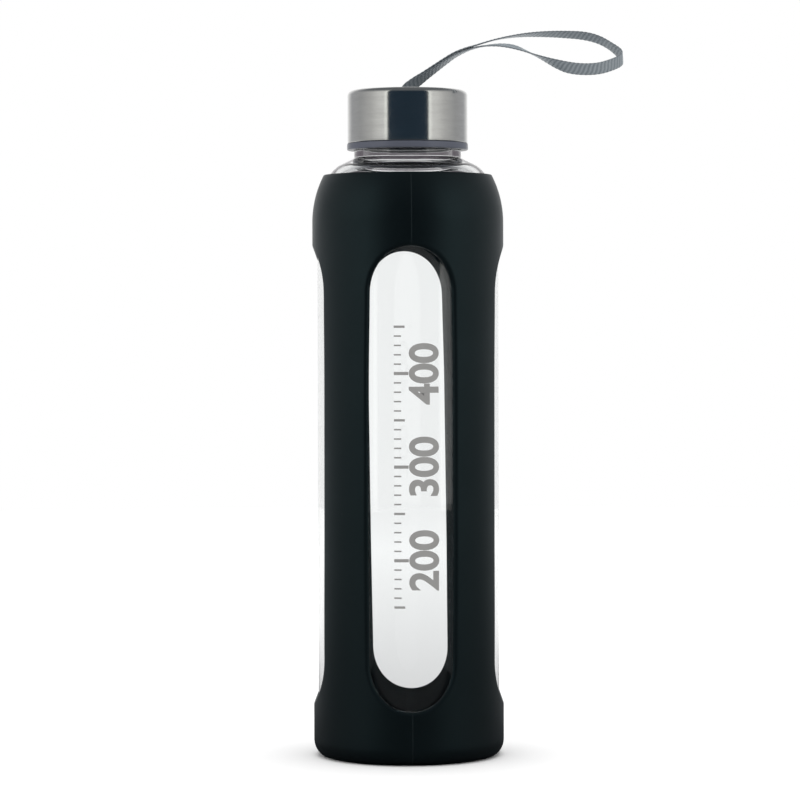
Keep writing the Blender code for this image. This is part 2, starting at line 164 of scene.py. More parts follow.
def shoulder(offset, neck_radius, fillet):
    """Wall to neck: arc, tighter arc, straight slope, and a hollow fillet up into the neck."""
    first, second = shoulder_centres()
    low = arc(first, SHOULDER_RADIUS + offset, 0, SHOULDER_TURN, 18)
    high = arc(second, CROWN_RADIUS + offset, SHOULDER_TURN, CROWN_TURN, 12)
    turn = math.radians(CROWN_TURN)
    rise = (high[-1, 0] - neck_radius) / math.tan(turn)
    corner = high[-1, 1] + rise  # where the slope and the neck would meet
    centre = (neck_radius + fillet, corner + fillet * math.tan(turn / 2))
    hollow = arc(centre, fillet, 180 + CROWN_TURN, 180, 10)
    return outline(low, high, line(high[-1], hollow[0], 16), hollow)


# ---------------- surfaces


def grid_faces(grid, rows_close=False, columns_close=True):
    """Quads between neighbouring points of a grid that is numbered row by row."""
    rows, columns = grid.shape[:2]
    index = np.arange(rows * columns).reshape(rows, columns)
    if rows_close:
        index = np.vstack([index, index[:1]])
    if columns_close:
        index = np.hstack([index, index[:, :1]])
    corners = (index[:-1, :-1], index[:-1, 1:], index[1:, 1:], index[1:, :-1])
    return np.stack(corners, axis=-1).reshape(-1, 4)


def around(columns=ABOUT):
    """The angles round the axis, starting at the front, which faces -Y."""
    return -math.pi / 2 + np.arange(columns) * math.tau / columns


def polar(radius, angle, height):
    """Points at a radius, an angle round Z and a height: (r cos a, r sin a, h)."""
    x, y = radius * np.cos(angle), radius * np.sin(angle)
    return np.stack(np.broadcast_arrays(x, y, height), axis=-1)


def turned(points, angles):
    """Each (radius, height) point carried round Z, as a grid of rows by angles."""
    return polar(points[:, :1], angles, points[:, 1:])


def put(name, data):
    """A new object in the scene."""
    made = bpy.data.objects.new(name, data)
    bpy.context.scene.collection.objects.link(made)
    return made


def put_mesh(mesh, material, merge=0.0):
    """A mesh as an object: doubles merged if a distance is given, faces turned out, smooth."""
    work = bmesh.new()
    work.from_mesh(mesh)
    if merge:
        bmesh.ops.remove_doubles(work, verts=work.verts, dist=merge)
    bmesh.ops.recalc_face_normals(work, faces=work.faces)
    work.to_mesh(mesh)
    work.free()
    mesh.shade_smooth()
    mesh.materials.append(material)
    return put(mesh.name, mesh)


def add_piece(name, parts, material, body, replaced):
    """Joins (points, faces) parts into one piece that rides on a body."""
    points, faces, start = [], [], 0
    for part_points, part_faces in parts:
        flat = part_points.reshape(-1, 3)
        points.append(flat)
        faces += (part_faces + start).tolist()
        start += len(flat)
    mesh = bpy.data.meshes.new(name)
    mesh.from_pydata(np.concatenate(points).tolist(), [], faces)
    piece = put_mesh(mesh, material, MERGE)
    mesh.set_sharp_from_angle(angle=SHARP_ANGLE)
    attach(piece, body)
    if replaced:
        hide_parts(*replaced)


def thread_bump(angles, heights, low):
    """The share of a thread's height that stands at each place: 1 on a crest, fading at the ends.

    A start's middle is at low + lead * turn / 360, where turn is the angle since that start began.
    """
    height = np.broadcast_to(heights, (len(heights), len(angles)))
    bump = np.zeros(height.shape)
    for start in range(THREAD_STARTS):
        turn = np.degrees(angles - start * math.tau / THREAD_STARTS) % 360.0
        middle = low + THREAD_LEAD * turn / 360.0
        crest = 1.0 - smooth_step(np.abs(height - middle), THREAD_CREST, THREAD_FOOT)
        begins = smooth_step(turn, 0.0, THREAD_FADE)
        ends = begins * (1.0 - smooth_step(turn, THREAD_TURN - THREAD_FADE, THREAD_TURN))
        bump = np.maximum(bump, crest * ends)
    return bump


def threaded(path, chosen, low, depth):
    """A path turned round Z, its chosen rows pushed out by a depth along the thread."""
    angles = around()
    grid = turned(path, angles)
    push = depth * thread_bump(angles, path[:, 1:], low) * chosen[:, None]
    grid += push[..., None] * polar(1.0, angles, 0.0)
    return grid, grid_faces(grid)


def glass_surface():
    """The bottle's one closed surface: a turned outline, with the neck pushed out as a thread."""
    foot_round, heel_round, rim, ledge = 4.5 * MM, 6.0 * MM, 0.9 * MM, 0.25 * MM
    punt, punt_radius, punt_turn = GLASS_LOW + 1.6 * MM, 190 * MM, 7.2  # the hollow underneath
    floor_edge, floor_middle = 6.5 * MM, 7.1 * MM
    outer_fillet, inner_fillet, thread_depth = 0.35 * MM, 1.3 * MM, 1.0 * MM
    bore = GLASS_RADIUS - GLASS_WALL
    foot = (GLASS_RADIUS - foot_round, GLASS_LOW + foot_round)
    heel = (bore - heel_round, floor_edge + heel_round)
    neck_low, neck_high = COLLAR_TOP + ledge, RIM_TOP - rim
    under = outline(
        [(0.0, punt)],
        arc((0.0, punt - punt_radius), punt_radius, 90, 90 - punt_turn, 10),
        arc(foot, foot_round, -90, 0, 10),
    )
    wall = line((GLASS_RADIUS, foot[1]), (GLASS_RADIUS, SHOULDER_LOW), 24)
    outer = shoulder(0.0, COLLAR_RADIUS, outer_fillet)
    collar = outline(
        line(outer[-1], (COLLAR_RADIUS, COLLAR_TOP - ledge), 20),
        arc((COLLAR_RADIUS - ledge, COLLAR_TOP - ledge), ledge, 0, 90, 6),
        arc((NECK_RADIUS + ledge, neck_low), ledge, 270, 180, 6),
    )
    neck = line((NECK_RADIUS, neck_low), (NECK_RADIUS, neck_high), 48)
    lip = outline(
        arc((NECK_RADIUS - rim, neck_high), rim, 0, 90, 8),
        arc((MOUTH_RADIUS + rim, neck_high), rim, 90, 180, 8),
    )
    inner = shoulder(-GLASS_WALL, MOUTH_RADIUS, inner_fillet)[::-1]
    mouth = line((MOUTH_RADIUS, neck_high), inner[0], 64)
    bore_wall = line((bore, SHOULDER_LOW), (bore, heel[1]), 24)
    floor = outline(
        arc(heel, heel_round, 0, -90, 12),
        line((heel[0], floor_edge), (0.0, floor_middle), 12),
    )
    path = outline(under, wall, outer, collar, neck, lip, mouth, inner, bore_wall, floor)
    radius, height = path.T
    on_neck = (radius > NECK_RADIUS - 0.1 * MM) & (height > neck_low) & (height < neck_high)
    return threaded(path, on_neck, THREAD_LOW, thread_depth)


def narrowing(height):
    """A window's width at a height, as a share: its sides draw in a little towards both ends."""
    low = 1.0 - smooth_step(height, 30 * MM, 85 * MM)
    high = smooth_step(height, 135 * MM, 175 * MM)
    return 1.0 - 0.018 * low - 0.03 * high


def window_outline(side, end):
    """A window's edge, as (angle, height): two straight sides between two half ellipses, narrowed.

    It runs anticlockwise in four stretches that face the panel's right side, top, left side and
    foot, so each stretch has a side of the panel to meet.
    """
    half = WINDOW_HALF_ANGLE
    low, high = WINDOW_LOW + WINDOW_END, WINDOW_HIGH - WINDOW_END
    split, steps = 38.0, 6  # the degrees of each end that belong to a side, and their steps

    def ellipse(centre, start, stop, parts):
        turn = np.radians(np.linspace(start, stop, parts + 1))
        return np.stack([half * np.cos(turn), centre + WINDOW_END * np.sin(turn)], axis=1)

    right = outline(
        ellipse(low, -split, 0, steps),
        line((half, low), (half, high), side),
        ellipse(high, 0, split, steps),
    )
    top = ellipse(high, split, 180 - split, end)
    left = outline(
        ellipse(high, 180 - split, 180, steps),
        line((-half, high), (-half, low), side),
        ellipse(low, 180, 180 + split, steps),
    )
    foot = ellipse(low, 180 + split, 360 - split, end)
    stretches = [right, top, left, foot]
    return [np.stack([s[:, 0] * narrowing(s[:, 1]), s[:, 1]], axis=1) for s in stretches]


def pulled(angle, height):
    """Where fitting the sleeve leaves a point: turned, and at the back raised or dropped too.

    The turn is constant in front and grows downwards at the back, and the share of each is
    (1 - sin a) / 2 and (1 + sin a) / 2 of the angle a round the axis.
    """
    still, fall, raised, dropped = 170 * MM, 115 * MM, 0.9 * MM, 0.4 * MM
    back = (1.0 + np.sin(angle)) / 2
    lag = (still - height) / fall
    low = smooth_step(height, 11 * MM, 19 * MM) * (1.0 - smooth_step(height, 25 * MM, 60 * MM))
    high = smooth_step(height, 150 * MM, 180 * MM)
    high = high * (1.0 - smooth_step(height, 186 * MM, 194 * MM))
    moved = angle + FRONT_TURN * (1.0 - back) - BACK_TURN * lag * back
    return moved, height + back * (raised * low - dropped * high)


def sleeve_panel(turn):
    """A quarter of the sleeve round one window: rings from the panel's edge in, and back inside.

    Each ring blends the panel's rectangle with the window's edge. Near the window a ring is that
    edge moved out by a distance, at a height above the bore that rounds the edge over: height is
    the wall less r plus r sin(p), and distance is r plus r cos(p), as p runs from 90 to 180.
    """
    stretches = window_outline(26, ABOUT // 4)
    sides = [(math.pi / 4, PANEL_LOW), (math.pi / 4, PANEL_HIGH)]
    corners = sides + [(-x, y) for x, y in reversed(sides)]
    border = []
    for k, stretch in enumerate(stretches):
        border.append(line(corners[k], corners[(k + 1) % 4], len(stretch) - 1)[:-1])
    border = np.concatenate(border)
    flat = np.concatenate([s[:-1] for s in stretches]) * (SLEEVE_BORE, 1.0)
    ahead = np.roll(flat, -1, axis=0) - np.roll(flat, 1, axis=0)
    outward = np.stack([ahead[:, 1], -ahead[:, 0]], axis=1)
    outward /= np.linalg.norm(outward, axis=1)[:, None]
    reach, chamfer = WINDOW_ROUND + 0.5 * MM, 0.12 * MM
    rings = [(share, reach, SLEEVE_WALL) for share in np.linspace(0.0, 1.0, 9)]
    for p in np.radians(np.linspace(90, 180, 9)):
        round_in = WINDOW_ROUND * (1.0 + math.cos(p))
        rings.append((1.0, round_in, SLEEVE_WALL - WINDOW_ROUND * (1.0 - math.sin(p))))
    rings += [(1.0, 0.0, chamfer), (1.0, chamfer, 0.0)]
    rings += [(share, reach, 0.0) for share in np.linspace(1.0, 0.0, 9)]
    grid = []
    for share, distance, height in rings:
        near = (flat + outward * distance) / (SLEEVE_BORE, 1.0)
        at = border * (1.0 - share) + near * share
        angle, level = pulled(at[:, 0] + turn - math.pi / 2, at[:, 1])
        radius = SLEEVE_BORE + height - draw(level) * height / SLEEVE_WALL
        grid.append(polar(radius, angle, level))
    grid = np.stack(grid)
    return grid, grid_faces(grid)


def draw(height):
    """How far the outside of the sleeve has drawn in at a height: nothing from 60 mm up."""
    return SLEEVE_TAPER * (1.0 - smooth_step(height, PANEL_LOW, 60 * MM))


def sleeve_surface():
    """Four window panels, closed above by the shoulder's collar and below by the foot."""
    lip, collar_turn, inner_round, inner_low = 0.3 * MM, 27.0, 4.8 * MM, 1.6 * MM
    first = shoulder_centres()[0]
    bore_arc = SHOULDER_RADIUS + SLEEVE_BORE - GLASS_RADIUS
    collar_out = arc(first, bore_arc + SLEEVE_WALL, 0, collar_turn, 20)
    collar_in = arc(first, bore_arc, collar_turn, 0, 20)
    across = collar_in[0] - collar_out[-1]
    across /= np.linalg.norm(across)
    along = np.array([across[1], -across[0]])
    edge = outline(
        collar_out[-1] + across * lip * 0.3 + along * lip * 0.7,
        collar_out[-1] + across * lip + along * lip,
        collar_in[0] - across * lip + along * lip,
        collar_in[0] - across * lip * 0.3 + along * lip * 0.7,
    )
    outside = SLEEVE_RADIUS - SLEEVE_TAPER
    foot = (outside - SLEEVE_FOOT_IN, SLEEVE_FOOT_ROUND)
    base = outline(
        line((outside, PANEL_LOW), (outside, foot[1]), 4),
        arc((0.0, 0.0), 1.0, 0, -90, 14) * (SLEEVE_FOOT_IN, SLEEVE_FOOT_ROUND) + foot,
        line((foot[0], 0.0), (0.0, 0.0), 10),
    )
    inner_foot = (SLEEVE_BORE - inner_round, inner_low + inner_round)
    within = outline(
        line((SLEEVE_BORE, PANEL_LOW), (SLEEVE_BORE, inner_foot[1]), 4),
        arc(inner_foot, inner_round, 0, -90, 14),
        line((inner_foot[0], inner_low), (0.0, inner_low), 10),
    )
    collar = outline(collar_out, edge, collar_in)
    parts = [sleeve_panel(k * math.pi / 2) for k in range(4)]
    for run, level in ((collar, PANEL_HIGH), (base, PANEL_LOW), (within, PANEL_LOW)):
        grid = turned(run, pulled(around() + math.pi / 4, np.full(ABOUT, level))[0])
        parts.append((grid, grid_faces(grid)))
    return parts


def slot_reach(angles):
    """How far the slot's edge lies from its middle in each direction: flat sides, round ends."""
    across, up = np.abs(np.cos(angles)), np.abs(np.sin(angles))
    side = SLOT_ROUND / np.maximum(up, 1e-9)
    end = SLOT_HALF * across + np.sqrt(np.maximum(SLOT_ROUND**2 - (SLOT_HALF * up) ** 2, 0.0))
    return np.where(side * across <= SLOT_HALF, side, end)


def lid_shell_surface():
    """The steel cup: rings that start as the slot's outline and become circles further out."""
    circle, round_over, hem = 8.0 * MM, 0.14 * MM, LID_STEEL / 2
    corner = (LID_RADIUS - LID_ROUND, LID_HIGH - LID_ROUND)
    under, inside = LID_HIGH - LID_STEEL, LID_RADIUS - LID_STEEL
    rings = []  # blend towards the circle, distance outside the slot, radius, height
    for p in np.radians(np.linspace(180, 90, 5)):
        level = LID_HIGH - round_over * (1 - math.sin(p))
        rings.append((0.0, round_over * (1 + math.cos(p)), 0.0, level))
    rings += [(share, round_over, circle, LID_HIGH) for share in np.linspace(0.1, 1.0, 10)]
    outer = outline(
        line((circle, LID_HIGH), (corner[0], LID_HIGH), 8),
        arc(corner, LID_ROUND, 90, 0, 14),
        line((LID_RADIUS, corner[1]), (LID_RADIUS, LID_LOW + hem), 12),
        arc((LID_RADIUS - hem, LID_LOW + hem), hem, 0, -180, 8),
        line((inside, LID_LOW + hem), (inside, corner[1]), 6),
        arc(corner, LID_ROUND - LID_STEEL, 0, 90, 8),
        line((corner[0], under), (circle, under), 4),
    )
    rings += [(1.0, 0.0, radius, height) for radius, height in outer[1:]]
    rings += [(share, 0.0, circle, under) for share in np.linspace(0.9, 0.0, 10)]
    angles = around()
    share, distance, radius, height = np.array(rings).T[..., None]
    reach = (slot_reach(angles) + distance) * (1.0 - share) + radius * share
    grid = polar(reach, angles, height)
    return grid, grid_faces(grid, rows_close=True)


def lid_liner_surface():
    """The plastic insert, turned, with the bore pushed in as a thread."""
    bore, skirt, band_top = LINER_BORE, LID_RADIUS - LID_STEEL - 0.25 * MM, LID_LOW - 0.15 * MM
    lip_in, lip_out, lip_low = 13.7 * MM, 14.9 * MM, 234.2 * MM
    disc, bevel = LINER_TOP - 1.3 * MM, 0.2 * MM  # the disc's underside, and the small corners
    r, shoulder_bevel, thread_depth = 0.35 * MM, 0.5 * MM, 0.95 * MM
    path = outline(
        [(0.0, LINER_TOP)],
        line((4 * MM, LINER_TOP), (skirt - shoulder_bevel, LINER_TOP), 6),
        [(skirt, LINER_TOP - shoulder_bevel)],
        line((skirt, LINER_TOP - 2 * shoulder_bevel), (skirt, band_top), 6),
        arc((BAND_RADIUS - bevel, band_top - bevel), bevel, 90, 0, 4),
        line((BAND_RADIUS, band_top - 2 * bevel), (BAND_RADIUS, BAND_LOW + r), 4),
        arc((BAND_RADIUS - r, BAND_LOW + r), r, 0, -90, 6),
        arc((bore + r, BAND_LOW + r), r, -90, -180, 6),
        line((bore, BAND_LOW + 0.5 * MM), (bore, disc), 48),
        line((bore - bevel, disc), (lip_out + bevel, disc), 3),
        line((lip_out, disc - bevel), (lip_out, lip_low + r), 3),
        arc((lip_out - r, lip_low + r), r, 0, -90, 4),
        arc((lip_in + r, lip_low + r), r, -90, -180, 4),
        line((lip_in, disc - bevel), (lip_in - bevel, disc), 1),
        line((lip_in - 1 * MM, disc), (0.0, disc), 6),
    )
    on_bore = np.abs(path[:, 0] - bore) < 0.05 * MM
    return threaded(path, on_bore, THREAD_LOW - THREAD_UNDER, -thread_depth)


def gasket_surface():
    """The sealing ring: a turned rectangle with round corners and one shallow groove below."""
    low, high = (corner.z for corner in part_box("lid_gasket"))
    inner, outer = 15.25 * MM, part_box("lid_gasket")[1].x
    middle, r, groove = (inner + outer) / 2, 0.3 * MM, low + 0.15 * MM
    path = outline(
        arc((outer - r, high - r), r, 90, 0, 5),
        arc((outer - r, low + r), r, 0, -90, 5),
        line((middle + 0.5 * MM, low), (middle + 0.2 * MM, groove), 1),
        line((middle - 0.2 * MM, groove), (middle - 0.5 * MM, low), 1),
        arc((inner + r, low + r), r, -90, -180, 5),
        arc((inner + r, high - r), r, 180, 90, 5),
    )
    grid = turned(path, around())
    return grid, grid_faces(grid, rows_close=True)


def pin_surface():
    """The cross pin: a short round bar along X with rounded ends, turned about X and not Z."""
    low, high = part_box("strap_pin")
    radius, half, r = (high.z - low.z) / 2, high.x, 0.25 * MM
    path = outline(
        [(0.0, half)],
        arc((radius - r, half - r), r, 90, 0, 5),
        line((radius, half - 2 * r), (radius, 2 * r - half), 12),
        arc((radius - r, r - half), r, 0, -90, 5),
        [(0.0, -half)],
    )
    grid = turned(path, around(32))[..., [2, 0, 1]]
    grid[..., 2] += PIN_HEIGHT
    return grid, grid_faces(grid)


# ---------------- strap


def through(points, steps):
    """Catmull-Rom through every point: half of 2q + (r-p)t + (2p-5q+4r-s)t^2 + (3q-p-3r+s)t^3."""
    points = np.asarray(points, float)
    padded = np.vstack([points[:1], points, points[-1:]])
    p, q, r, s = padded[:-3, None], padded[1:-2, None], padded[2:-1, None], padded[3:, None]
    t = (np.arange(steps) / steps)[None, :, None]
    bend, twist = 2 * p - 5 * q + 4 * r - s, 3 * q - p - 3 * r + s
    curve = 2 * q + (r - p) * t + bend * t**2 + twist * t**3
    return np.vstack([0.5 * curve.reshape(-1, points.shape[1]), points[-1:]])


def strap_route(steps=14):
    """Middle, width direction, outward direction and length so far, for each section of the strap.

    The width is upright turned about the path by the twist. In the stem the two layers are moved
    apart along the outward direction, and that offset fades out where the loop opens.
    """
    near = SLOT_RUN + STEM
    back = [(x, y, z, -twist) for x, y, z, twist in reversed(near)]
    samples = through(near + LOOP + back, steps)
    middle = samples[:, :3] * MM
    along = np.gradient(middle, axis=0)
    along /= np.linalg.norm(along, axis=1)[:, None]
    lean = np.array([-0.001, 0.0, 1.0])  # upright, but never quite along the path
    upright = lean - along * (along @ lean)[:, None]
    upright /= np.linalg.norm(upright, axis=1)[:, None]
    twist = np.radians(samples[:, 3:])
    width = upright * np.cos(twist) + np.cross(along, upright) * np.sin(twist)
    outward = np.cross(along, width)
    index = np.arange(len(samples))
    into_loop = np.minimum(index, len(samples) - 1 - index) - steps * (len(near) - 1)
    fade = 1.0 - np.clip(into_loop / (2.0 * steps), 0.0, 1.0)
    middle = middle + outward * (STRAP_OFFSET * fade)[:, None]
    step = np.linalg.norm(np.diff(middle, axis=0), axis=1)
    return middle, width, outward, np.concatenate([[0.0], np.cumsum(step)])


def evenly(route, spacing):
    """The same route with its sections the same distance apart."""
    length = route[3]
    at = np.linspace(0.0, length[-1], int(length[-1] / spacing))
    moved = [[np.interp(at, length, v[:, k]) for k in range(3)] for v in route[:3]]
    return [np.stack(columns, axis=1) for columns in moved] + [at]


def strap_surface(middle, width, outward, along, columns=32):
    """The tape: a flat oval carried along the route, ribbed by cords that wind round it.

    At perimeter share c the oval is half the width times cos and half the thickness times sin,
    squared off by powers of 0.75 and 0.45. A rib stands where along / pitch + starts * c is a
    whole number.
    """
    share = np.arange(columns) / columns
    turn = share * math.tau
    flat = np.sign(np.cos(turn)) * np.abs(np.cos(turn)) ** 0.75
    thick = np.sign(np.sin(turn)) * np.abs(np.sin(turn)) ** 0.45
    phase = along[:, None] / RIB_PITCH + RIB_STARTS * share[None, :]
    rib = RIB_HEIGHT * np.cos(math.tau * phase)
    across = (flat * STRAP_WIDTH / 2 + rib * flat * 0.6)[..., None]
    depth = (thick * (STRAP_THICKNESS / 2) + rib * thick)[..., None]
    grid = middle[:, None] + width[:, None] * across + outward[:, None] * depth
    faces = grid_faces(grid)
    rows = np.arange(columns)
    caps = [rows[::-1].tolist(), (rows + (len(along) - 1) * columns).tolist()]
    pattern = np.stack(np.broadcast_arrays(phase, share[None, :] * 2 - 1), axis=-1)
    return grid.reshape(-1, 3), faces.tolist() + caps, pattern.reshape(-1, 2)


def add_tape(name, runs, material):
    """One piece from stretches of tape, with a map of (rib phase, perimeter share) on it."""
    points, faces, patterns, start = [], [], [], 0
    for run in runs:
        run_points, run_faces, pattern = strap_surface(*run)
        points.append(run_points)
        patterns.append(pattern)
        faces += [[corner + start for corner in face] for face in run_faces]
        start += len(run_points)
    mesh = bpy.data.meshes.new(name)
    mesh.from_pydata(np.concatenate(points).tolist(), [], faces)
    corner = np.empty(len(mesh.loops), int)
    mesh.loops.foreach_get("vertex_index", corner)
    weave = mesh.uv_layers.new(name="weave").data
    weave.foreach_set("uv", np.concatenate(patterns)[corner].ravel())
    tape = put_mesh(mesh, material)
    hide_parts("strap_loop")
    return tape


def add_strap(material):
    """The strap in two pieces: the sewn stem, which bends at the slot, and the free loop."""
    route = evenly(strap_route(), TAPE_STEP)
    first, last = np.flatnonzero(route[0][:, 0] > LOOP_START)[[0, -1]]
    stretches = [slice(0, first + 1), slice(first, last + 1), slice(last, None)]
    near, loop, far = ([part[stretch] for part in route] for stretch in stretches)
    stem = add_tape("strap_stem", [near, far], material)
    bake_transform(stem)
    tape = add_tape("strap_tape", [loop], material)
    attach(tape, "strap")


def hem_surface():
    """The sewn end: a band wrapped round the pin, its section an outline in Y and Z run along X."""
    inner, outer, neck, top = 0.85 * MM, 1.5 * MM, 0.62 * MM, 1.9 * MM
    lean = math.degrees(math.asin(neck / outer))
    ring = arc((0.0, 0.0), outer, 90 + lean, 450 - lean, 40)
    outside = outline([(neck, top), (-neck, top)], ring)
    hollow = arc((0.0, 0.0), inner, 90, 450, len(outside))[:-1]
    half = STRAP_WIDTH / 2
    rows = []
    for section, x in ((outside, -half), (outside, half), (hollow, half), (hollow, -half)):
        along = np.full(len(section), x)
        rows.append(np.stack([along, section[:, 0], section[:, 1] + PIN_HEIGHT], axis=1))
    grid = np.stack(rows)
    return grid, grid_faces(grid, rows_close=True)


# ---------------- print on the glass


def bend_print(points, lift):
    """Wraps flat artwork on the glass: x becomes an angle at the front, y a height, z a lift."""
    angle = -math.pi / 2 + points[:, 0] / GLASS_RADIUS
    return polar(GLASS_RADIUS + lift + points[:, 2], angle, points[:, 1])


PRINT_LIFT, PRINT_THICKNESS, PRINT_STEP = 0.02 * MM, 0.03 * MM, 0.6 * MM
SCALE_LOW, SCALE_HIGH, SCALE_STEP = 150, 450, 10  # first mark, last mark and step, in ml
MARK_LEFT, NUMERAL_MIDDLE, NUMERAL_SIZE = -6.4 * MM, 5.0 * MM, 14.5 * MM
MARKS = [(2.6 * MM, 0.55 * MM), (3.9 * MM, 0.85 * MM), (5.2 * MM, 1.15 * MM)]  # length, stroke
FLOOR_HEIGHT, CUBIC_METRES_PER_ML = 6.6 * MM, 1e-6
BORE_AREA = math.pi * (GLASS_RADIUS - GLASS_WALL) ** 2


def fill_height(millilitres):
    """Where the surface stands: the floor plus the volume over the bore's area."""
    return FLOOR_HEIGHT + millilitres * CUBIC_METRES_PER_ML / BORE_AREA


def mark_surface(left, right, height, stroke):
    """One mark of the scale: a thin curved bar, its section a rectangle carried round the glass."""
    columns = max(3, int((right - left) / PRINT_STEP) + 1)
    x = np.linspace(left, right, columns)
    rows = []
    for up, out in ((-1, 0), (1, 0), (1, 1), (-1, 1)):
        y = np.full(columns, height + up * stroke / 2)
        z = np.full(columns, out * PRINT_THICKNESS)
        rows.append(bend_print(np.stack([x, y, z], axis=1), PRINT_LIFT))
    grid = np.stack(rows)
    faces = grid_faces(grid, rows_close=True, columns_close=False)
    index = np.arange(4) * columns
    ends = np.array([index[::-1], index + columns - 1])
    return grid, np.vstack([faces, ends])


def add_numeral(number, middle, size, material):
    """A number as thin raised artwork, read upwards, cut into slices and wrapped on the glass."""
    name = f"scale_{number}"
    text = bpy.data.curves.new(name, "FONT")
    text.body = str(number)
    text.size, text.offset, text.extrude = size, size * 0.028, PRINT_THICKNESS / 2
    text.align_x, text.align_y = "CENTER", "CENTER"
    text.resolution_u = 6
    flat = put("flat_text", text)
    evaluated = flat.evaluated_get(bpy.context.evaluated_depsgraph_get())
    mesh = bpy.data.meshes.new_from_object(evaluated)
    bpy.data.objects.remove(flat)
    mesh.name = name
    work = bmesh.new()
    work.from_mesh(mesh)
    bmesh.ops.remove_doubles(work, verts=work.verts, dist=1e-7)
    for level in np.arange(-size, size, PRINT_STEP):
        geometry = work.verts[:] + work.edges[:] + work.faces[:]
        bmesh.ops.bisect_plane(work, geom=geometry, plane_co=(0, level, 0), plane_no=(0, 1, 0))
    work.to_mesh(mesh)
    work.free()
    points = np.empty(len(mesh.vertices) * 3)
    mesh.vertices.foreach_get("co", points)
    x, y, z = points.reshape(-1, 3).T
    upward = np.stack([middle[0] - y, middle[1] + x, z + PRINT_THICKNESS / 2], axis=1)
    mesh.vertices.foreach_set("co", bend_print(upward, PRINT_LIFT).ravel())
    mesh.materials.clear()
    mesh.materials.append(material)
    piece = put(name, mesh)
    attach(piece, "bottle")


def add_print(material):
    """A measuring scale: a mark every 10 ml, longer at 50 and 100 ml, with a number at each 100."""
    parts = []
    for volume in range(SCALE_LOW, SCALE_HIGH + 1, SCALE_STEP):
        reach, stroke = MARKS[2 if volume % 100 == 0 else 1 if volume % 50 == 0 else 0]
        parts.append(mark_surface(MARK_LEFT, MARK_LEFT + reach, fill_height(volume), stroke))
    add_piece("scale_marks", parts, material, "bottle", [])
    for volume in (200, 300, 400):
        add_numeral(volume, (NUMERAL_MIDDLE, fill_height(volume)), NUMERAL_SIZE, material)


# ---------------- material tools


def place(tree, kind, sockets=None, **settings):
    """A new node with its settings, and each input set to a value or joined to another's output."""
    made = tree.nodes.new(kind)
    for name, value in settings.items():
        setattr(made, name, value)
    for name, value in (sockets or {}).items():
        if isinstance(value, bpy.types.NodeSocket):
            tree.links.new(value, made.inputs[name])
        else:
            made.inputs[name].default_value = value
    return made


def maths(tree, operation, a, b=0.0, c=0.0):
    """One step of arithmetic on values or outputs."""
    return place(tree, "ShaderNodeMath", {0: a, 1: b, 2: c}, operation=operation).outputs[0]


def between(tree, value, low, high, to_low=0.0, to_high=1.0, shape="SMOOTHSTEP"):
    """A value carried from one range to another, smoothly at both ends and kept inside it."""
    sockets = {0: value, 1: low, 2: high, 3: to_low, 4: to_high}
    made = place(tree, "ShaderNodeMapRange", sockets, interpolation_type=shape, clamp=True)
    return made.outputs[0]


def mixed(tree, share, first, second):
    """A colour between two colours."""
    sockets = {0: share, 6: first, 7: second}
    return place(tree, "ShaderNodeMix", sockets, data_type="RGBA").outputs[2]


def split_of(tree, vector):
    """The X, Y and Z of a vector."""
    return place(tree, "ShaderNodeSeparateXYZ", {0: vector}).outputs


def noise(tree, vector, scale, detail=2.0, roughness=0.5, fourth=None):
    """The value of a noise texture, which is in four dimensions if a fourth value is given."""
    sockets = {"Vector": vector, "Scale": scale, "Detail": detail, "Roughness": roughness}
    if fourth is not None:
        sockets["W"] = fourth
    kind = "3D" if fourth is None else "4D"
    return place(tree, "ShaderNodeTexNoise", sockets, noise_dimensions=kind).outputs["Fac"]


def new_group(name, **inputs):
    """A shader node group with a vector input and named value inputs."""
    tree = bpy.data.node_groups.new(name, "ShaderNodeTree")
    tree.interface.new_socket("Vector", in_out="INPUT", socket_type="NodeSocketVector")
    for label, value in inputs.items():
        socket = tree.interface.new_socket(label, in_out="INPUT", socket_type="NodeSocketFloat")
        socket.default_value = value
    return tree, tree.nodes.new("NodeGroupInput").outputs


def put_out(tree, **values):
    """Ends a group with these outputs."""
    for label in values:
        tree.interface.new_socket(label, in_out="OUTPUT", socket_type="NodeSocketFloat")
    ends = tree.nodes.new("NodeGroupOutput").inputs
    for label, value in values.items():
        tree.links.new(value, ends[label])
    return tree


def grain_group():
    """Moulded grain: a fine noise for the skin and a broad one for its slow unevenness."""
    tree, given = new_group("moulded_grain", Fine=2500.0, Broad=60.0)
    fine = noise(tree, given["Vector"], given["Fine"], 3.0, 0.6)
    broad = noise(tree, given["Vector"], given["Broad"], 3.0, 0.55)
    return put_out(tree, Height=fine, Broad=broad)


def handling_group():
    """Handling marks: soft smudges, and sparse fine specks of dust."""
    tree, given = new_group("handling_marks", Smudge=45.0, Speck=900.0)
    broad = noise(tree, given["Vector"], given["Smudge"], 4.0, 0.65)
    fine = noise(tree, given["Vector"], given["Speck"], 1.0, 0.5)
    smudge, specks = between(tree, broad, 0.45, 0.75), between(tree, fine, 0.76, 0.84)
    return put_out(tree, Smudge=smudge, Specks=specks)


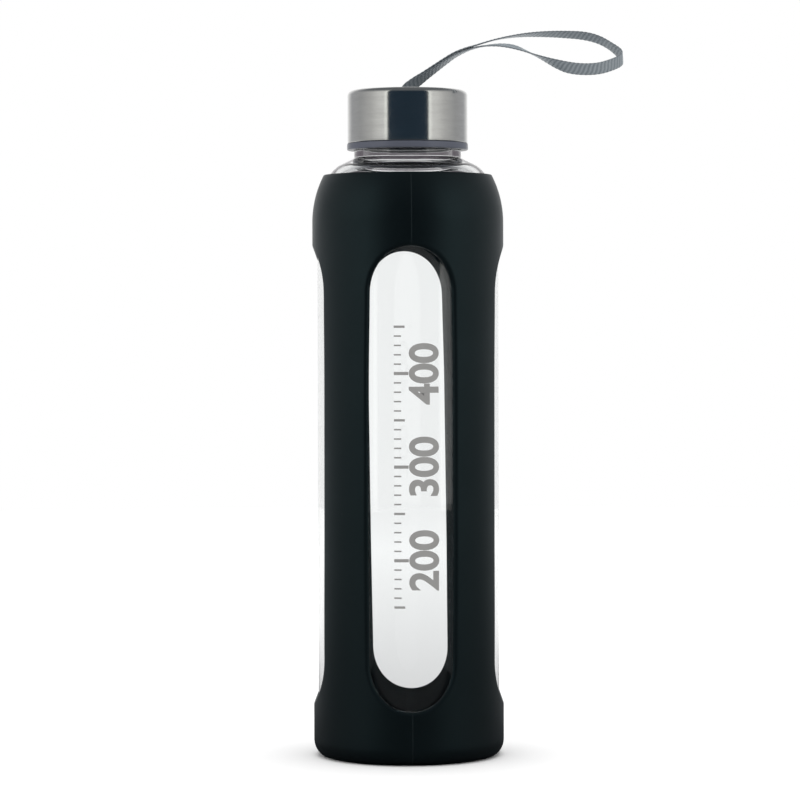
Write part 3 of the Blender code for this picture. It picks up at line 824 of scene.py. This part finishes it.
def brushed_group():
    """Brushing round the Z axis: noise that is long round the axis and very fine across it."""
    tree, given = new_group("brushed_round", Lines=5200.0, Length=7.0)
    split = split_of(tree, given["Vector"])
    flat = place(tree, "ShaderNodeCombineXYZ", {0: split[0], 1: split[1], 2: 0.0}).outputs[0]
    radius = place(tree, "ShaderNodeVectorMath", {0: flat}, operation="LENGTH").outputs["Value"]
    round_axis = place(tree, "ShaderNodeVectorMath", {0: flat}, operation="NORMALIZE").outputs[0]
    sockets = {0: round_axis, "Scale": given["Length"]}
    spun = place(tree, "ShaderNodeVectorMath", sockets, operation="SCALE").outputs[0]
    across = maths(tree, "ADD", radius, split[2])
    across = maths(tree, "MULTIPLY", across, given["Lines"])
    fine = noise(tree, spun, 1.0, 3.0, 0.7, across)
    wide = noise(tree, spun, 0.6, 2.0, 0.5, maths(tree, "MULTIPLY", across, 0.13))
    both = maths(tree, "MULTIPLY_ADD", wide, 0.5, fine)
    return put_out(tree, Height=fine, Streak=between(tree, both, 0.5, 1.0, shape="LINEAR"))


def weave_group():
    """Ribbed weave on (rib phase, perimeter share): its ribs, and the fibres along each rib."""
    tree, given = new_group("ribbed_weave")
    along, share = split_of(tree, given["Vector"])[:2]
    wave = maths(tree, "COSINE", maths(tree, "MULTIPLY", along, math.tau))
    turn = maths(tree, "COSINE", maths(tree, "MULTIPLY", share, math.pi))
    pick = maths(tree, "SINE", maths(tree, "MULTIPLY", share, 150.0))
    sockets = {0: maths(tree, "MULTIPLY", along, 9.0)}
    sockets[1] = maths(tree, "MULTIPLY", share, 26.0)
    fibre_map = place(tree, "ShaderNodeCombineXYZ", sockets).outputs[0]
    fibre = noise(tree, fibre_map, 1.6, 3.0, 0.65)
    picks = maths(tree, "MULTIPLY", between(tree, pick, -1.0, 1.0, shape="LINEAR"), 0.5)
    height = maths(tree, "MULTIPLY_ADD", fibre, 0.5, picks)
    # Rib mask: the strap material uses it to colour the grooves between the ribs darker, as painted
    # shade.
    rib = between(tree, wave, -1.0, 1.0, shape="LINEAR")
    # Edge mask: where the strap material paints shade at the tape's edges.
    edge = between(tree, maths(tree, "ABSOLUTE", turn), 0.86, 0.99)
    return put_out(tree, Height=height, Rib=rib, Fibre=fibre, Edge=edge)


GRAIN, HANDLING, BRUSHED, WEAVE = grain_group(), handling_group(), brushed_group(), weave_group()


def use_group(tree, group, sockets):
    """An instance of a shared group, with its own values."""
    return place(tree, "ShaderNodeGroup", sockets, node_tree=group).outputs


def grained(tree, where, fine, broad):
    """The moulded grain at two scales."""
    return use_group(tree, GRAIN, {"Vector": where, "Fine": fine, "Broad": broad})


def handled(tree, where, smudge, speck):
    """The handling marks at two scales."""
    return use_group(tree, HANDLING, {"Vector": where, "Smudge": smudge, "Speck": speck})


def new_material(name, **values):
    """A material with these plain values, its tree and shader, and the object's coordinates."""
    material = bpy.data.materials.new(name)
    material.use_nodes = True
    tree = material.node_tree
    shader = tree.nodes["Principled BSDF"]
    for label, value in values.items():
        shader.inputs[label.replace("_", " ")].default_value = value
    return material, tree, shader, place(tree, "ShaderNodeTexCoord").outputs["Object"]


def dress(shader, colour, varied, amount, roughness):
    """Feeds the shader's colour, and its roughness: a plain one plus an amount of what varies."""
    tree = shader.id_data
    tree.links.new(colour, shader.inputs["Base Color"])
    rough = maths(tree, "MULTIPLY_ADD", varied, amount, roughness)
    tree.links.new(rough, shader.inputs["Roughness"])


def bump(shader, height, strength, distance, below=None):
    """Feeds the shader's normal from a height, on top of a broader bump if one is given."""
    tree = shader.id_data
    sockets = {"Height": height, "Strength": strength, "Distance": distance}
    if below is not None:
        sockets["Normal"] = below
    made = place(tree, "ShaderNodeBump", sockets).outputs[0]
    tree.links.new(made, shader.inputs["Normal"])
    return made


# ---------------- materials


def black_silicone():
    """Matte black silicone: fine moulded grain, soft marks and the mould's parting line."""
    material, tree, shader, where = new_material(
        "black_silicone",
        IOR=1.41,
        Specular_IOR_Level=0.62,
        # The teal specular tint is a painted reflection colour, standing in for teal studio light.
        Specular_Tint=(0.55, 0.90, 1.0, 1.0),
    )
    grain, marks = grained(tree, where, 3200.0, 55.0), handled(tree, where, 38.0, 1400.0)
    base = mixed(tree, grain["Broad"], (0.0016, 0.0018, 0.0021, 1), (0.0030, 0.0034, 0.0038, 1))
    dust = maths(tree, "MULTIPLY", marks["Specks"], 0.25)
    dusty = mixed(tree, dust, base, (0.05, 0.052, 0.054, 1))
    off_seam = maths(tree, "ABSOLUTE", split_of(tree, where)[0])
    seam = between(tree, off_seam, 0.05 * MM, 0.22 * MM, 1.0, 0.0)
    seamed = mixed(tree, maths(tree, "MULTIPLY", seam, 0.5), dusty, (0.016, 0.017, 0.018, 1))
    smudged = maths(tree, "MULTIPLY_ADD", marks["Smudge"], -0.05, 0.40)
    dress(shader, seamed, grain["Height"], 0.08, smudged)
    ridge = bump(shader, seam, 0.6, 0.06 * MM)
    bump(shader, grain["Height"], 0.25, 0.03 * MM, ridge)
    return material


def clear_glass():
    """Blown borosilicate: clear, faintly tinted, its surface slightly wavy and lightly handled."""
    material, tree, shader, where = new_material(
        "clear_glass", IOR=1.473, Roughness=0.0, Transmission_Weight=1.0
    )
    grain, marks = grained(tree, where, 260.0, 35.0), handled(tree, where, 55.0, 1800.0)
    tint = mixed(tree, grain["Broad"], (0.972, 0.985, 0.985, 1), (0.985, 0.992, 0.99, 1))
    dress(shader, tint, marks["Smudge"], 0.035, 0.0)
    bump(shader, grain["Broad"], 0.12, 0.12 * MM)
    return material


def brushed_steel(name, lines, length):
    """Stainless steel brushed round its axis: fine streaks in height, tone and roughness."""
    material, tree, shader, where = new_material(
        name, Metallic=1.0, Anisotropic=0.8, Anisotropic_Rotation=0.25
    )
    brushed = use_group(tree, BRUSHED, {"Vector": where, "Lines": lines, "Length": length})
    marks = handled(tree, where, 70.0, 1200.0)
    tone = mixed(tree, brushed["Streak"], (0.55, 0.55, 0.54, 1), (0.67, 0.67, 0.655, 1))
    rough = maths(tree, "MULTIPLY_ADD", brushed["Height"], 0.08, 0.13)
    dress(shader, tone, marks["Smudge"], 0.05, rough)
    bump(shader, brushed["Height"], 0.22, 0.02 * MM)
    return material


def grey_plastic():
    """The liner's moulded plastic: satin grey with a faint grain."""
    material, tree, shader, where = new_material("grey_plastic", IOR=1.49)
    grain, marks = grained(tree, where, 2200.0, 90.0), handled(tree, where, 80.0, 1500.0)
    tone = mixed(tree, grain["Broad"], (0.070, 0.078, 0.105, 1), (0.098, 0.106, 0.136, 1))
    dress(shader, tone, marks["Smudge"], 0.12, 0.28)
    bump(shader, grain["Height"], 0.15, 0.02 * MM)
    return material


def milky_silicone():
    """The gasket's translucent white silicone."""
    material, tree, shader, where = new_material(
        "milky_silicone",
        IOR=1.41,
        Subsurface_Weight=0.4,
        Subsurface_Radius=(1.0, 1.0, 1.0),
        Subsurface_Scale=0.8 * MM,
    )
    grain = grained(tree, where, 2600.0, 120.0)
    tone = mixed(tree, grain["Broad"], (0.66, 0.67, 0.66, 1), (0.78, 0.78, 0.76, 1))
    dress(shader, tone, grain["Broad"], 0.1, 0.42)
    bump(shader, grain["Height"], 0.15, 0.02 * MM)
    return material


def grey_weave(name, map_name):
    """Slate grey strap yarn: light on the ribs, with painted shade between them and at its edges.
    """
    material, tree, shader, where = new_material(
        name,
        IOR=1.5,
        Specular_IOR_Level=0.9,
        Sheen_Weight=0.30,
        Sheen_Roughness=0.4,
        Sheen_Tint=(0.8, 0.86, 0.88, 1.0),
    )
    if map_name:
        surface = place(tree, "ShaderNodeUVMap", uv_map=map_name).outputs[0]
    else:
        surface = place(tree, "ShaderNodeMapping", {0: where, 3: (625.0, 110.0, 110.0)}).outputs[0]
    weave = use_group(tree, WEAVE, {"Vector": surface})
    yarn = mixed(tree, weave["Fibre"], (0.125, 0.150, 0.170, 1), (0.33, 0.365, 0.39, 1))
    # Painted shade: the grooves between the ribs are coloured darker than the crests.
    ribbed = mixed(tree, weave["Rib"], (0.135, 0.160, 0.180, 1), yarn)
    # Painted shade: the tape's edges are coloured dark.
    edge = maths(tree, "MULTIPLY", weave["Edge"], 0.75)
    edge_painted_shade = mixed(tree, edge, ribbed, (0.045, 0.055, 0.068, 1))
    dress(shader, edge_painted_shade, weave["Fibre"], 0.2, 0.32)
    bump(shader, weave["Height"], 0.6, 0.05 * MM)
    return material


def scale_enamel():
    """The fired grey enamel of the print, with a slightly uneven film."""
    material, tree, shader, where = new_material("scale_enamel", IOR=1.5)
    grain = grained(tree, where, 3000.0, 150.0)
    tone = mixed(tree, grain["Broad"], (0.235, 0.232, 0.225, 1), (0.30, 0.297, 0.29, 1))
    dress(shader, tone, grain["Height"], 0.15, 0.4)
    bump(shader, grain["Height"], 0.1, 0.01 * MM)
    return material


# ---------------- studio


def add_camera():
    """A long lens, level, looking at the axis from a little left of the front."""
    data = bpy.data.cameras.new("camera")
    data.lens, data.sensor_width, data.clip_start = 140.4, 36.0, 0.01
    data.shift_x, data.shift_y = -0.010, -0.100
    camera = put("camera", data)
    distance, height, turn = 1.144, 0.159, math.radians(-2.2)
    camera.location = (distance * math.sin(turn), -distance * math.cos(turn), height)
    camera.rotation_euler = (math.radians(90), math.radians(0.15), turn)
    bpy.context.scene.camera = camera


def add_floor():
    """A wide flat disc of pale paper under the bottle: (r cos a, r sin a, 0), r growing outwards.

    Sight and diffuse light meet plain white paper. Mirrors see painted shade on it close in front.
    Glass sees painted shade on it in front too, growing whiter towards the back.
    """
    reach = 1.5
    grid = turned(line((0.0, 0.0), (reach, 0.0), 30), around(96))
    faces = grid_faces(grid)[:, ::-1]
    mesh = bpy.data.meshes.new("studio_floor")
    mesh.from_pydata(grid.reshape(-1, 3).tolist(), [], faces.tolist())
    mesh.shade_smooth()
    material, tree, shader, where = new_material(
        "studio_paper", Roughness=0.9, Specular_IOR_Level=0.0
    )
    tone = mixed(tree, noise(tree, where, 900.0), (0.90, 0.90, 0.90, 1), (0.92, 0.92, 0.92, 1))
    path = place(tree, "ShaderNodeLightPath").outputs
    depth = split_of(tree, where)[1]
    through = path["Is Transmission Ray"]
    mirror = maths(tree, "MAXIMUM", path["Is Glossy Ray"], through)
    mirror = maths(tree, "SUBTRACT", mirror, through)
    # Painted shade: where mirrors see the paper close in front, and where glass sees it in front.
    near_glass = between(tree, depth, -0.06, 0.02, 1.0, 0.0)
    near_mirror = between(tree, depth, 0.05, 0.5, 1.0, 0.0)
    dim = maths(tree, "MULTIPLY", mirror, near_mirror)
    dim = maths(tree, "MULTIPLY_ADD", through, near_glass, dim)
    # Painted shade for glass: the paper it sees is darker in front and whiter towards the back.
    far = between(tree, depth, 0.1, 1.0, shape="LINEAR")
    glass_painted_shade = mixed(tree, far, (0.55, 0.545, 0.55, 1), (0.86, 0.86, 0.86, 1))
    paper = mixed(tree, through, tone, glass_painted_shade)
    shade = mixed(tree, through, (0.05, 0.055, 0.06, 1), (0.12, 0.125, 0.13, 1))
    tree.links.new(mixed(tree, dim, paper, shade), shader.inputs["Base Color"])
    mesh.materials.append(material)
    put("studio_floor", mesh)


def ramp_of(tree, share, stops):
    """A colour ramp over (position, colour) stops, the first at 0 and the last at 1."""
    ramp = place(tree, "ShaderNodeValToRGB", {0: share})
    elements = ramp.color_ramp.elements
    elements[0].color = (*stops[0][1], 1.0)
    elements[1].color = (*stops[-1][1], 1.0)
    for position, colour in stops[1:-1]:
        elements.new(position).color = (*colour, 1.0)
    return ramp.outputs[0]


def add_world():
    """White all round for sight and for diffuse light.

    Mirrors see a studio instead: two soft banks of light at the sides, which fall off towards the
    back quarter, a dark gap between them in front, and white behind. Glass sees an even sheet of
    light that grows whiter towards the back, with one dim patch behind, just above eye level.
    Both see a dim ceiling.
    """
    world = bpy.data.worlds.new("studio")
    bpy.context.scene.world = world
    world.use_nodes = True
    tree = world.node_tree
    background = tree.nodes["Background"]
    direction = split_of(tree, place(tree, "ShaderNodeTexCoord").outputs["Generated"])
    forward = maths(tree, "MULTIPLY", direction[1], -1.0)
    azimuth = maths(tree, "ARCTAN2", direction[0], forward)
    azimuth = maths(tree, "ADD", azimuth, math.radians(1.1))
    share = maths(tree, "DIVIDE", maths(tree, "ABSOLUTE", azimuth), math.pi)
    rise = maths(tree, "ARCSINE", direction[2])
    banks = [
        (0.0, (0.018, 0.034, 0.052)),
        (0.20, (0.022, 0.038, 0.058)),
        (0.219, (0.03, 0.04, 0.055)),
        (0.226, (1.35, 1.38, 1.32)),
        (0.240, (1.25, 1.26, 1.20)),
        (0.262, (0.88, 0.88, 0.86)),
        (0.33, (0.80, 0.80, 0.78)),
        (0.42, (0.60, 0.60, 0.59)),
        (0.58, (0.42, 0.425, 0.43)),
        (0.75, (0.45, 0.455, 0.47)),
        (0.90, (1.0, 1.0, 1.0)),
        (1.0, (1.0, 1.0, 1.0)),
    ]
    sheet = [(0.0, (0.6,) * 3), (0.45, (0.7,) * 3), (0.75, (0.9,) * 3), (1.0, (1.0,) * 3)]
    path = place(tree, "ShaderNodeLightPath").outputs
    through = path["Is Transmission Ray"]
    seen = mixed(tree, through, ramp_of(tree, share, banks), ramp_of(tree, share, sheet))
    above = between(tree, rise, math.radians(2.1), math.radians(2.5))
    below = between(tree, rise, math.radians(14.0), math.radians(19.0), 1.0, 0.0)
    patch = maths(tree, "MULTIPLY", maths(tree, "MULTIPLY", above, below), through)
    patch = maths(tree, "MULTIPLY", patch, between(tree, share, 0.62, 0.75))
    level = mixed(tree, patch, seen, (0.10, 0.085, 0.10, 1.0))
    ceiling = between(tree, rise, math.radians(20.0), math.radians(55.0))
    studio = mixed(tree, ceiling, level, (0.16, 0.17, 0.18, 1.0))
    indirect = maths(tree, "MAXIMUM", path["Is Glossy Ray"], through)
    tree.links.new(mixed(tree, indirect, (1.0, 1.0, 1.0, 1.0), studio), background.inputs["Color"])
    background.inputs["Strength"].default_value = 1.0
    world.cycles.sampling_method = "NONE"  # so that reflections really meet the banks of light


def add_lights():
    """One broad soft light overhead, which lifts the floor to white under the bottle."""
    data = bpy.data.lights.new("overhead", "AREA")
    data.shape, data.size, data.energy = "DISK", 1.6, 14.0
    light = put("overhead", data)
    light.visible_glossy = False
    light.location = (0.0, 0.1, 1.7)


# ---------------- building


def build():
    """Makes every material, then every piece."""
    silicone, glass, plastic = black_silicone(), clear_glass(), grey_plastic()
    steel = brushed_steel("brushed_steel", 6500.0, 3.0)
    wire = brushed_steel("drawn_wire", 3000.0, 4.0)
    seal, enamel = milky_silicone(), scale_enamel()
    tape, hem = grey_weave("grey_weave", "weave"), grey_weave("grey_weave_hem", None)
    add_strap(tape)
    add_piece("bottle_glass", [glass_surface()], glass, "bottle", ["glass_bottle"])
    sleeve = sleeve_surface()
    add_piece("sleeve_silicone", sleeve, silicone, "bottle", ["silicone_sleeve"])
    add_print(enamel)
    add_piece("lid_cup", [lid_shell_surface()], steel, "lid", ["lid_shell"])
    add_piece("lid_insert", [lid_liner_surface()], plastic, "lid", ["lid_liner"])
    add_piece("lid_seal", [gasket_surface()], seal, "seal", ["lid_gasket"])
    add_piece("lid_cross_pin", [pin_surface()], wire, "lid", ["strap_pin"])
    add_piece("strap_hem", [hem_surface()], hem, "lid", ["strap_end"])


bpy.context.scene.view_settings.view_transform = "Standard"
add_camera()
build()
add_floor()
add_world()
add_lights()
